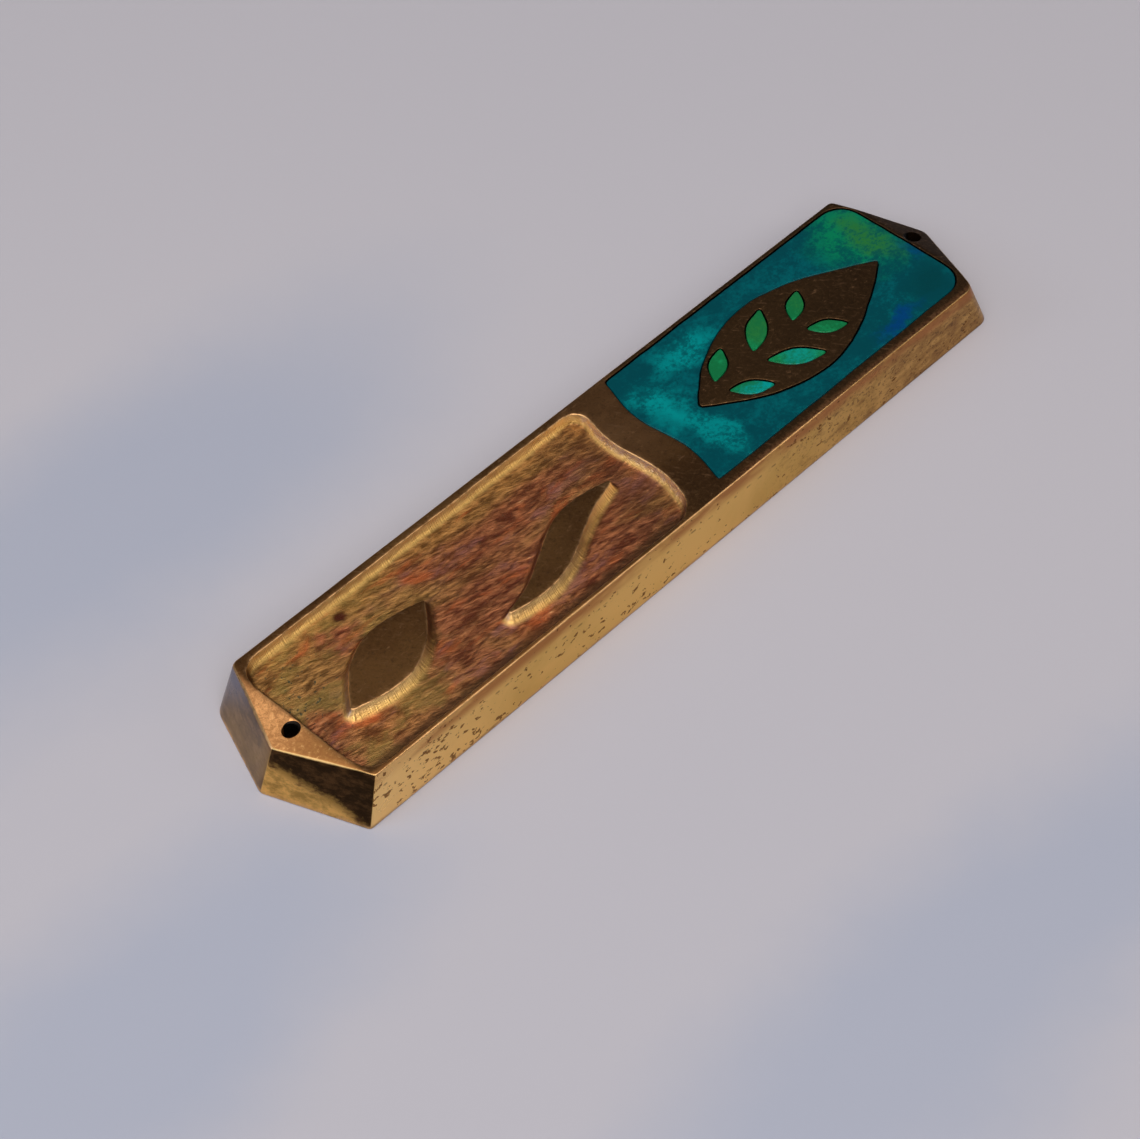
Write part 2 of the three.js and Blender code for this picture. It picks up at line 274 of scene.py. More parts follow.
def field_line(end, end_y, left_rim, right_rim, radius, band_y, ease=0.0):
    """The edge of the hollow or the enamel, from the band to the round corners at that end.
    The corners at the band are cut off by the ease."""
    left, right = -FRONT_WIDTH / 2 + left_rim, FRONT_WIDTH / 2 - right_rim
    corner_y = end * (end_y - radius)
    x = np.linspace(left + ease, right - ease, 120)
    band = np.column_stack([x, band_edge(band_y, x)])
    beside = [[(side, band_edge(band_y, side) + end * ease)] for side in (right, left)]
    corners = [arc((right - radius, corner_y), radius, 0, end * 90),
               arc((left + radius, corner_y), radius, end * 90, end * 180)]
    return np.vstack([band, beside[0], *corners, beside[1]])[::end]


def cell_line(stalk_y, reach, half_width, side):
    stalk = (side * CELL_START_X, stalk_y)
    tip = (side * (CELL_START_X + reach), stalk_y + CELL_RISE * reach)
    return leaf_line(stalk, tip, half_width, blunt=0.36)


HOLLOW = Outline(field_line(**HOLLOW_FIELD, band_y=BAND_LOWER_Y, ease=1.9),
                 step=0.16, radius=1.0, wobble=0.05, seed=21)
WILLOW = Outline(leaf_line(**WILLOW_LEAF), step=0.12, radius=0.12, wobble=0.05, seed=22)
OLIVE = Outline(leaf_line(**OLIVE_LEAF), step=0.13, radius=0.15, wobble=0.07, seed=23)
FIELD = Outline(field_line(**ENAMEL_FIELD, band_y=BAND_UPPER_Y), step=0.3, radius=0.45, wobble=0.05, seed=24)
BIG_LEAF = Outline(leaf_line(**ENAMEL_LEAF), step=0.2, radius=0.2, wobble=0.09, seed=25)
CELLS = [
    Outline(cell_line(*row, side), step=0.1, radius=0.15, wobble=0.04, seed=30 + 2 * k + (side > 0))
    for k, row in enumerate(CELL_ROWS) for side in (-1, 1)
]


# ---- closed meshes from rings of points ----

# cut and pale mark painted light on the carved walls: cut where they face the lower right and are painted
# brighter, pale where they get a painted cool reflection
TRAITS = ("land", "hollow", "side", "wear", "along", "grey", "smoky", "ridge", "cut", "pale")


def inside(points, loops):
    """True for each point that an odd number of the closed loops goes round."""
    odd = np.zeros(len(points), bool)
    chunk = 2000
    for loop in loops:
        (x1, y1), (x2, y2) = loop.T, np.roll(loop, -1, 0).T
        run = np.where(y1 == y2, 1.0, y2 - y1)
        for start in range(0, len(points), chunk):
            x, y = points[start:start + chunk].T[:, :, None]
            crosses = ((y1 > y) != (y2 > y)) & (x < x1 + (y - y1) * (x2 - x1) / run)
            odd[start:start + chunk] ^= crosses.sum(1) % 2 == 1
    return odd


def enclosed(triangles, border):
    """The numbers of the triangles that lie to the left of a border of directed edges."""
    owner = {}
    for number, (a, b, c) in enumerate(triangles.tolist()):
        owner[a, b] = owner[b, c] = owner[c, a] = number
    border = {tuple(edge) for edge in border}
    waiting = [owner[edge] for edge in border]
    kept = set(waiting)
    while waiting:
        a, b, c = triangles[waiting.pop()].tolist()
        for edge in ((a, b), (b, c), (c, a)):
            beyond = owner.get(edge[::-1])
            if edge not in border and beyond is not None and beyond not in kept:
                kept.add(beyond)
                waiting.append(beyond)
    return sorted(kept)


def scattered(low, high, dx, dy, seed, jitter=0.25):
    """Staggered rows of points over a rectangle, each a little out of place."""
    x, y = np.meshgrid(np.arange(low[0], high[0], dx), np.arange(low[1], high[1], dy), indexing="ij")
    y = y + dy / 2 * (np.arange(len(x)) % 2)[:, None]
    x = x + jitter * dx * noise(x * 7.3, y * 7.7, seed)
    y = y + jitter * dy * noise(x * 6.1, y * 8.3, seed + 1)
    return np.column_stack([x.ravel(), y.ravel()])


def nearest_among(points):
    """A tree that finds the nearest of the points, which have three coordinates."""
    tree = KDTree(len(points))
    for i, point in enumerate(points):
        tree.insert(point, i)
    tree.balance()
    return tree


class Shell:
    """A mesh in the making. Rings of points are joined by strips and filled, and share points."""

    def __init__(self):
        self.points, self.traits = np.zeros((0, 3)), np.zeros((0, len(TRAITS)))
        self.faces = []

    def add(self, xy, z, **traits):
        """Adds points and returns their numbers."""
        first = len(self.points)
        points = np.column_stack([xy, np.broadcast_to(z, len(xy))])
        rows = np.zeros((len(points), len(TRAITS)))
        for name, value in traits.items():
            rows[:, TRAITS.index(name)] = value
        self.points, self.traits = np.vstack([self.points, points]), np.vstack([self.traits, rows])
        return np.arange(first, first + len(points))

    def strip(self, inner, outer):
        """Quads from an inner ring to an outer one, facing up where the rings lie flat."""
        self.faces += np.column_stack([inner, outer, np.roll(outer, -1), np.roll(inner, -1)]).tolist()

    def join(self, rings, inwards=False):
        """Strips between neighbouring rings, which are given from the inner to the outer one or inwards."""
        for near, far in zip(rings, rings[1:]):
            self.strip(*((far, near) if inwards else (near, far)))

    def fill(self, outer, holes=(), extra=None, height=None, stretch=1.0, up=True, **traits):
        """Triangles from an outer ring to its holes. Extra points lie between them, at a height(x, y)."""
        loops = [np.array(ring) for ring in (outer, *holes)]
        lines = [self.points[loop][:, :2] for loop in loops]
        ids = np.concatenate(loops)
        if extra is not None:
            extra = extra[inside(extra, lines)]
            extra = extra[self._clear_of(extra, np.vstack(lines))]
            ids = np.concatenate([ids, self.add(extra, height(*extra.T), **traits)])
        flat = self.points[ids][:, :2] * (1.0, stretch)
        edges, first = [], 0
        for loop in loops:
            numbers = np.arange(first, first + len(loop))
            edges += np.column_stack([numbers, np.roll(numbers, -1)]).tolist()
            first += len(loop)
        found = delaunay_2d_cdt([Vector(p) for p in flat], edges, [], 0, 1e-7, True)
        if len(found[0]) != len(flat):
            raise ValueError("two rings of one face cross")
        triangles = np.array([group[0] for group in found[3]])[np.array(found[2])]
        directed = [edge[::-1] for edge in edges[len(outer):]]
        triangles = ids[triangles[enclosed(triangles, edges[:len(outer)] + directed)]]
        a, b, c = (self.points[triangles[:, k]][:, :2] for k in range(3))
        faces_up = (b[:, 0] - a[:, 0]) * (c[:, 1] - a[:, 1]) > (b[:, 1] - a[:, 1]) * (c[:, 0] - a[:, 0])
        turned = faces_up != up
        triangles[turned] = triangles[turned][:, ::-1]
        self.faces += triangles.tolist()

    @staticmethod
    def _clear_of(points, border, share=0.6):
        """True where a point isn't crowding the border, judged by the border's own spacing."""
        tree = nearest_among([(x, y, 0) for x, y in border])
        room = share * np.median(np.linalg.norm(np.diff(border, axis=0), axis=1))
        return np.array([tree.find((x, y, 0))[2] > room for x, y in points], bool)


def write_traits(mesh, rows):
    """Gives a mesh its traits as attributes, in place of any that it has."""
    for trait, values in zip(TRAITS, rows.T):
        if trait in mesh.attributes:
            mesh.attributes.remove(mesh.attributes[trait])
        attribute = mesh.attributes.new(trait, "FLOAT", "POINT")
        attribute.data.foreach_set("value", values.astype(np.float32))


def link(name, data):
    """A new object in the scene."""
    obj = bpy.data.objects.new(name, data)
    bpy.context.scene.collection.objects.link(obj)
    return obj


def make_object(name, shell, smooth_below=40):
    """A Blender object from a shell, in metres, with its traits as attributes."""
    mesh = bpy.data.meshes.new(name)
    mesh.from_pydata((shell.points * MM).tolist(), [], shell.faces)
    write_traits(mesh, shell.traits)
    finish_mesh(mesh, smooth_below)
    return link(name, mesh)


def finish_mesh(mesh, smooth_below):
    mesh.polygons.foreach_set("use_smooth", [True] * len(mesh.polygons))
    mesh.set_sharp_from_angle(angle=math.radians(smooth_below))
    mesh.validate()


# ---- the cast case ----

# Each wall profile runs from the flat down to the floor: distance from the edge and share of the depth.
LEAF_WALL = [(-0.11, 0), (-0.05, 0.008), (0, 0.03), (0.05, 0.08), (0.18, 0.24), (0.34, 0.42), (0.52, 0.60),
             (0.72, 0.76), (0.94, 0.88), (1.20, 0.96), (1.50, 1)]
RIM_WALL = [(-0.12, 0), (-0.06, 0.008), (0, 0.04), (0.05, 0.11), (0.15, 0.31), (0.28, 0.52), (0.44, 0.71),
            (0.62, 0.85), (0.84, 0.94), (1.08, 0.985), (1.35, 1)]
POCKET_WALL = [(-0.10, 0), (-0.04, 0.01), (0, 0.045), (0.02, 0.14), (0.03, 0.6), (0.03, 1)]

# The carved walls lean back more where they face the lower right, and there they are painted brighter, a
# painted highlight of the lamps on that side.
LOWER_RIGHT_SIDE = np.array([0.7, -0.71])
# Walls that face this way are painted pale and silvery, a painted reflection of the cool window lamp.
COOL_SHEEN_SIDE = np.array([-0.42, -0.91])
# From the height of the furrows in millimetres to the trait that colours them.
RIDGE_GAIN = 10


def relief_edge(shell, outline, profile, floor, hole, marks=0.0, seed=0):
    """A wall from the flat down to a floor, round a hole or round something that stands up.
    Returns its rings at the flat and at the floor. A wall without tool marks keeps the flat's traits, and is
    painted near black below its lip as the shade of a narrow gap."""
    sense = -1 if hole else 1
    chatter = noise(outline.along / 0.31, seed=seed) + 0.5 * noise(outline.along / 1.1, seed=seed + 1)
    openness = sense * outline.normals @ LOWER_RIGHT_SIDE
    # a painted cool reflection on walls that face the window lamp
    pale = smoothstep(0.55, 0.95, sense * outline.normals @ COOL_SHEEN_SIDE) if marks else 0
    width = 0.72 + 0.38 * smoothstep(-0.6, 0.6, openness) if marks else 1
    rings = []
    for distance, share in profile:
        cut = marks * chatter * 4 * share * (1 - 0.75 * share)
        xy = outline.offset(sense * (distance * (width if distance > 0 else 1) + cut))
        top, bottom = front_z(*xy.T), floor(*xy.T)
        dent = 0.5 * marks * chatter * share * (1 - share) * 4
        land = 1 - smoothstep(0.02, 0.12, share) if marks else 1
        wear = math.exp(-((share - 0.05) / 0.05) ** 2) if marks else 0
        past_lip = smoothstep(0.01, 0.05, share)
        rings.append(shell.add(
            xy, top * (1 - share) + bottom * share - dent,
            land=land, hollow=share, wear=wear, along=outline.along,
            ridge=furrows(*xy.T) * RIDGE_GAIN * share,
            # cut: a painted highlight on walls that face the lower right
            cut=smoothstep(-0.3, 0.5, openness) * past_lip * smoothstep(1.0, 0.72, share),
            pale=pale * past_lip * smoothstep(0.85, 0.3, share),
        ))
    shell.join(rings, inwards=hole)
    return rings[0], rings[-1]


def hexagon(width, shoulder_y, tip_y):
    half = width / 2
    return np.array([(half, -shoulder_y), (half, shoulder_y), (0, tip_y),
                     (-half, shoulder_y), (-half, -shoulder_y), (0, -tip_y)])


# How far the rounding of each upright corner reaches, from the lower right one and anticlockwise.
FRONT_CORNER_REACH = (0.5, 1.5, 0.9, 0.7, 0.9, 0.6)
BACK_CORNER_REACH = (*FRONT_CORNER_REACH[:4], 2.2, FRONT_CORNER_REACH[5])


def rounded_hexagon(corners, reach, bend_points=8, spacing=0.5):
    """The six-sided outline with round corners, and which side each point lies on, from 0 to 5.
    Outlines of one shape get points that correspond."""
    reference = hexagon(BACK_WIDTH, BACK_SHOULDER_Y, LENGTH / 2)
    points, sides = [], []
    for i, corner in enumerate(corners):
        before, after = corners[i - 1] - corner, corners[(i + 1) % 6] - corner
        before, after = before / np.linalg.norm(before), after / np.linalg.norm(after)
        enter, leave = corner + reach[i] * before, corner + reach[i] * after
        t = np.linspace(0, 1, bend_points)[:, None]
        points.append(curve(enter, corner, leave, t))
        sides.append(np.where(t[:, 0] < 0.5, (i - 1) % 6, i))
        following = (i + 1) % 6
        arrive = corners[following] - reach[following] * after
        count = int(np.linalg.norm(reference[following] - reference[i]) / spacing)
        t = np.linspace(0, 1, count + 1)[1:-1, None]
        points.append(leave + t * (arrive - leave))
        sides.append(np.full(len(t), i))
    return np.vstack(points), np.concatenate(sides)


def outer_walls(shell):
    """The flared walls from the worn front edge down to the back. Returns the top and bottom rings."""
    back, sides = rounded_hexagon(hexagon(BACK_WIDTH, BACK_SHOULDER_Y, LENGTH / 2), BACK_CORNER_REACH)
    front, _ = rounded_hexagon(hexagon(FRONT_WIDTH, SHOULDER_Y, FRONT_TIP_Y), FRONT_CORNER_REACH)
    grey, smoky = sides == 4, sides == 5
    # where the leaning walls meet the front, found step by step because the pads slope
    share = np.ones(len(back))
    for _ in range(8):
        edge = back + (front - back) * share[:, None]
        share = front_z(*edge.T) / HEIGHT
    along = np.concatenate([[0], np.cumsum(np.linalg.norm(np.diff(edge, axis=0), axis=1))])
    normals = outward(edge)
    height = share * HEIGHT

    def wall(z):
        """The wall's outline at a height, with the slight waves of hand finishing."""
        z = np.broadcast_to(z, len(height))
        wave = 0.022 * fractal(along / 11, z / 6, seed=41) * smoothstep(0, 1.2, z)
        return back + (front - back) * (z / HEIGHT)[:, None] + normals * wave[:, None]

    in_reach = 0.21 + 0.05 * noise(along / 5, seed=42) + 0.14 * smoothstep(-57, -60, edge[:, 1])
    down_reach = 0.30 + 0.08 * noise(along / 6, seed=43)
    inner = edge - normals * in_reach[:, None]
    inner_z = front_z(*inner.T)
    lower_z = height - down_reach
    lower = wall(lower_z)
    marks = dict(along=along, grey=grey, smoky=smoky)
    rings = []
    for t in np.linspace(0, 1, 6):
        wear = math.sin(math.pi * t) * (1 - 0.6 * smoky)
        rings.append(shell.add(
            curve(inner, edge, lower, t), curve(inner_z, height, lower_z, t),
            land=(1 - t) ** 2, side=t, wear=wear, **marks,
        ))
    foot = 0.22
    for t in np.linspace(0, 1, 15)[1:]:
        z = lower_z * (1 - t) + foot * t
        wear = 0.8 * smoothstep(0.9, 1.0, t)
        rings.append(shell.add(wall(z), z, side=1, wear=wear, **marks))
    for t in np.linspace(0, 1, 4)[1:]:
        xy = curve(wall(foot), back, back - normals * foot, t)
        rings.append(shell.add(xy, (1 - t) ** 2 * foot, side=1 - t, wear=0.8, **marks))
    shell.join(rings)
    return rings[0], rings[-1]


def case_shell():
    """The case from outside: carved front, walls and a flat back that isn't cut open yet."""
    shell = Shell()
    top, bottom = outer_walls(shell)
    hollow_top, hollow_floor = relief_edge(shell, HOLLOW, RIM_WALL, floor_z, hole=True, marks=0.03, seed=51)
    field_top, field_floor = relief_edge(shell, FIELD, POCKET_WALL, pocket_z, hole=True)
    willow_top, willow_foot = relief_edge(shell, WILLOW, LEAF_WALL, floor_z, hole=False, marks=0.035, seed=53)
    olive_top, olive_foot = relief_edge(shell, OLIVE, LEAF_WALL, floor_z, hole=False, marks=0.035, seed=55)
    leaf_top, leaf_foot = relief_edge(shell, BIG_LEAF, POCKET_WALL, pocket_z, hole=False)
    cells = [relief_edge(shell, cell, POCKET_WALL, pocket_z, hole=True) for cell in CELLS]

    sparse = scattered(CASE_LOW[:2], CASE_HIGH[:2], 0.8, 0.8, seed=61)
    land = dict(extra=sparse, height=front_z, land=1)
    shell.fill(top, [hollow_top, field_top], **land)
    shell.fill(willow_top, **land)
    shell.fill(olive_top, **land)
    shell.fill(leaf_top, [ring for ring, _ in cells], **land)
    for _, ring in cells:
        shell.fill(ring, up=True, hollow=1)
    shell.fill(field_floor, [leaf_foot], hollow=1)
    dense = scattered(HOLLOW.points.min(0), HOLLOW.points.max(0), 0.16, 0.36, seed=63)
    shell.fill(hollow_floor, [willow_foot, olive_foot], extra=dense, height=floor_z, stretch=0.45, hollow=1)
    on_floor = (shell.traits[:, TRAITS.index("hollow")] == 1) & (shell.points[:, 1] < BAND_UPPER_Y)
    shell.traits[on_floor, TRAITS.index("ridge")] = RIDGE_GAIN * furrows(*shell.points[on_floor, :2].T)
    back = scattered(CASE_LOW[:2], CASE_HIGH[:2], 3, 3, seed=65)
    shell.fill(bottom, extra=back, height=lambda x, y: 0 * x, up=False)
    return shell


def pocket_z(x, y):
    return HEIGHT - ENAMEL_POCKET_DEPTH + 0 * x


def loft(rings):
    """A closed solid for cutting: rings from the bottom up, as (outline points, height)."""
    shell = Shell()
    numbers = [shell.add(points, z) for points, z in rings]
    shell.join(numbers, inwards=True)
    shell.fill(numbers[0], up=False)
    shell.fill(numbers[-1], up=True)
    return shell


def nail_hole_cutter(end, nail_hole_y, **_):
    """A nail hole with both its mouths slightly rounded."""
    lip = 0.05
    centre = (0, end * nail_hole_y)
    pad = float(front_z(*np.array(centre)))
    past, almost_round = 1.0, 360 - 7.5 / 2
    rings = []
    for z, grow in ((-past, lip + past), (lip, 0), (pad - lip, 0), (pad + past, lip + past)):
        radius = NAIL_HOLE_RADIUS + grow
        rings.append((resample(arc(centre, radius, 0, almost_round), 0.12 * radius), z))
    return loft(rings)


def back_cutters():
    """The scroll chamber, the groove for the plate and the opening in the back."""
    def rectangle(width, length, radius, grow=0.0, centre_y=0.0):
        return rounded_rectangle(width + 2 * grow, length + 2 * grow, radius + grow, centre_y)

    chamber = [(rectangle(CHAMBER_WIDTH, CHAMBER_LENGTH, 1.0, grow), z)
               for z, grow in ((GROOVE_TOP - 0.4, 0), (CHAMBER_CEILING - 0.25, 0), (CHAMBER_CEILING, -0.25))]
    lip = 0.15
    opening = [(rectangle(OPENING_WIDTH, OPENING_LENGTH, OPENING_CORNER, grow), z)
               for z, grow in ((-0.6, lip + 0.6), (lip, 0), (GROOVE_BOTTOM + 0.4, 0))]
    slot_end = LENGTH / 2 + 2
    slot_length = slot_end - GROOVE_END_Y
    plan = rectangle(GROOVE_WIDTH, slot_length, 0.4, centre_y=(slot_end + GROOVE_END_Y) / 2)
    groove = [(plan, GROOVE_BOTTOM), (plan, GROOVE_TOP)]
    return [loft(chamber), loft(opening), loft(groove)]


def cut(obj, cutters):
    """Takes the cutters out of an object for good."""
    for shell in cutters:
        tool = make_object("cutter", shell)
        modifier = obj.modifiers.new("cut", "BOOLEAN")
        modifier.operation, modifier.solver, modifier.object = "DIFFERENCE", "MANIFOLD", tool
        result = bpy.data.meshes.new_from_object(obj.evaluated_get(bpy.context.evaluated_depsgraph_get()))
        obj.modifiers.clear()
        obj.data = result
        bpy.data.objects.remove(tool)


def restore_traits(mesh, shell):
    """Gives each point that the cutting kept its traits again. Of the new ones, the upper parts of the
    nail holes are painted dark below their mouths as shade, and the rest has no traits."""
    tree = nearest_among(shell.points * MM)
    near, mouth = 1e-6, 0.03
    rows = np.zeros((len(mesh.vertices), len(TRAITS)), np.float32)
    for vertex in mesh.vertices:
        _, number, distance = tree.find(vertex.co)
        x, y, z = vertex.co / MM
        if distance < near:
            rows[vertex.index] = shell.traits[number]
        elif z > HEIGHT / 2 and abs(y) > LOWER_PAD["start_y"]:
            rows[vertex.index, TRAITS.index("land")] = 1
            rows[vertex.index, TRAITS.index("hollow")] = z < front_z(np.array(x), np.array(y)) - mouth
    write_traits(mesh, rows)


def make_case():
    shell = case_shell()
    obj = make_object("cast_case", shell)
    cut(obj, [nail_hole_cutter(**LOWER_PAD), nail_hole_cutter(**UPPER_PAD), *back_cutters()])
    restore_traits(obj.data, shell)
    finish_mesh(obj.data, 38)
    return obj


# ---- enamel ----

def enamel_z(x, y):
    """The ground and polished enamel, a touch below the brass and not quite flat."""
    return HEIGHT - ENAMEL_BELOW_RIM + 0.022 * fractal(x / 3.5, y / 4.5, seed=71)


# Inset from the enamel's own edge and drop below its surface.
ENAMEL_EDGE = [(0, 0.10), (0.03, 0.045), (0.08, 0.012), (0.16, 0)]


def enamel_rings(shell, outline, hole):
    """The bottom ring and the top ring of an enamel edge; round a leaf the enamel is outside it."""
    sense = -1 if hole else 1
    away = sense * ENAMEL_GAP
    bottom_z = HEIGHT - ENAMEL_POCKET_DEPTH + 0.05
    edge = outline.offset(-away)
    rings = [shell.add(edge, bottom_z)]
    for inset, drop in ENAMEL_EDGE:
        xy = outline.offset(-away - sense * inset)
        rings.append(shell.add(xy, enamel_z(*xy.T) - drop, wear=1 if drop else 0))
    shell.join(rings, inwards=not hole)
    return rings[0], rings[-1]


def enamel_piece(name, outline, hole_outline=None):
    shell = Shell()
    bottom, top = enamel_rings(shell, outline, hole=False)
    holes = [enamel_rings(shell, hole_outline, hole=True)] if hole_outline else []
    points = scattered(outline.points.min(0), outline.points.max(0), 0.5, 0.5, seed=73)
    shell.fill(top, [ring for _, ring in holes], extra=points, height=enamel_z)
    shell.fill(bottom, [ring for ring, _ in holes], up=False)
    return make_object(name, shell)


# ---- back plate ----

def make_plate():
    """The sliding plate, slightly bowed, with eased edges and a hole to pull it by."""
    low, high = box_mm("back_plate")
    width, length, thickness = high - low
    ease = 0.12
    profile = [(ease, 0), (ease / 3, ease / 3), (0, ease), (0, thickness - ease),
               (ease / 3, thickness - ease / 3), (ease, thickness)]

    def level(x, y, rise):
        return low[2] + rise + 0.05 * fractal(x / 9, y / 16, seed=81)

    shell = Shell()
    outer = Outline(rounded_rectangle(width, length, 1.0, (low[1] + high[1]) / 2), step=0.5, radius=0.12)
    almost_round = 352
    pull = Outline(arc((0, PULL_HOLE_Y), PULL_HOLE_RADIUS, 0, almost_round), step=0.2, radius=0.1)
    edges = []
    for outline, sense in ((outer, 1), (pull, -1)):
        rings = []
        for inset, rise in profile:
            xy = outline.offset(-sense * inset)
            rings.append(shell.add(xy, level(*xy.T, rise)))
        shell.join(rings, inwards=sense > 0)
        edges.append(rings)
    points = scattered(low[:2], high[:2], 1.6, 1.6, seed=83)
    for k, up in ((0, False), (-1, True)):
        rise = profile[k][1]
        shell.fill(edges[0][k], [edges[1][k]], extra=points, height=lambda x, y: level(x, y, rise), up=up)
    return make_object("sliding_plate", shell)


# ---- scroll and sleeve ----

def flat_oval(width, height, turns):
    """Points on a flat oval, for turns counted from the right end of its upper side."""
    radius, span = height / 2, width - height
    half_way = span + math.pi * radius
    along = turns % 1 * 2 * half_way
    lower = along >= half_way
    along = np.where(lower, along - half_way, along)
    angle = math.pi / 2 + np.maximum(along - span, 0) / radius
    x = span / 2 - np.minimum(along, span) + radius * np.cos(angle)
    return np.column_stack([x, radius * np.sin(angle)]) * np.where(lower, -1, 1)[:, None]


def lengthwise(shell, node, section, stations):
    """Rings along a CAD node's length, at shares of it; section gives the outline round the middle."""
    low, high = box_mm(node)
    middle = (low[2] + high[2]) / 2
    rings = []
    for share in stations:
        x, z = section(share).T
        y = low[1] + (high[1] - low[1]) * share
        rings.append(shell.add(np.column_stack([x, np.full(len(x), y)]), middle + z))
    return rings


def make_scroll():
    """The rolled parchment: one sheet, wound a little unevenly, with its ends showing the turns."""
    low, high = box_mm("scroll")
    width, _, height = high - low
    turns = np.linspace(0, SCROLL_TURNS, 220)

    def section(share):
        loose = 0.035 * fractal(turns * 3, share * 5, seed=91) * smoothstep(0.1, 0.6, turns)
        depth = SCROLL_PITCH * turns - loose
        faces = [flat_oval(width - 2 * d, height - 2 * d, turns) for d in (depth, depth + SCROLL_SHEET)]
        return np.vstack([faces[0], faces[1][::-1]])

    shell = Shell()
    rings = lengthwise(shell, "scroll", section, np.linspace(0, 1, 17))
    shell.join(rings)
    for ring, turned in ((rings[0], False), (rings[-1], True)):
        outer, inner = ring[:len(turns)], ring[len(turns):][::-1]
        quads = np.column_stack([outer[:-1], outer[1:], inner[1:], inner[:-1]])
        shell.faces += (quads[:, ::-1] if turned else quads).tolist()
    return make_object("parchment_scroll", shell, smooth_below=50)


def make_sleeve():
    """The clear film round the scroll, open at both ends, with a soft crease or two."""
    low, high = box_mm("scroll_sleeve")
    width, _, height = high - low
    turns = np.linspace(0, 1, 121)[:-1]
    shell = Shell()

    def rings(inset):
        def section(share):
            depth = inset + 0.05 * np.abs(fractal(turns * 8, share * 6, seed=95))
            return flat_oval(width - 2 * depth, height - 2 * depth, turns)

        return lengthwise(shell, "scroll_sleeve", section, np.linspace(0, 1, 33))

    outer, inner = rings(0.0), rings(SLEEVE_WALL)
    shell.join(outer)
    shell.join(inner, inwards=True)
    shell.strip(inner[0], outer[0])
    shell.strip(outer[-1], inner[-1])
    return make_object("film_sleeve", shell, smooth_below=60)


# ---- node graphs ----

class Wire:
    """What comes out of a node. Its sums and products are further nodes."""

    def __init__(self, graph, socket):
        self.graph, self.socket = graph, socket

    def __add__(self, other):
        return self.graph.math("ADD", self, other)

    def __sub__(self, other):
        return self.graph.math("SUBTRACT", self, other)

    def __mul__(self, other):
        return self.graph.math("MULTIPLY", self, other)


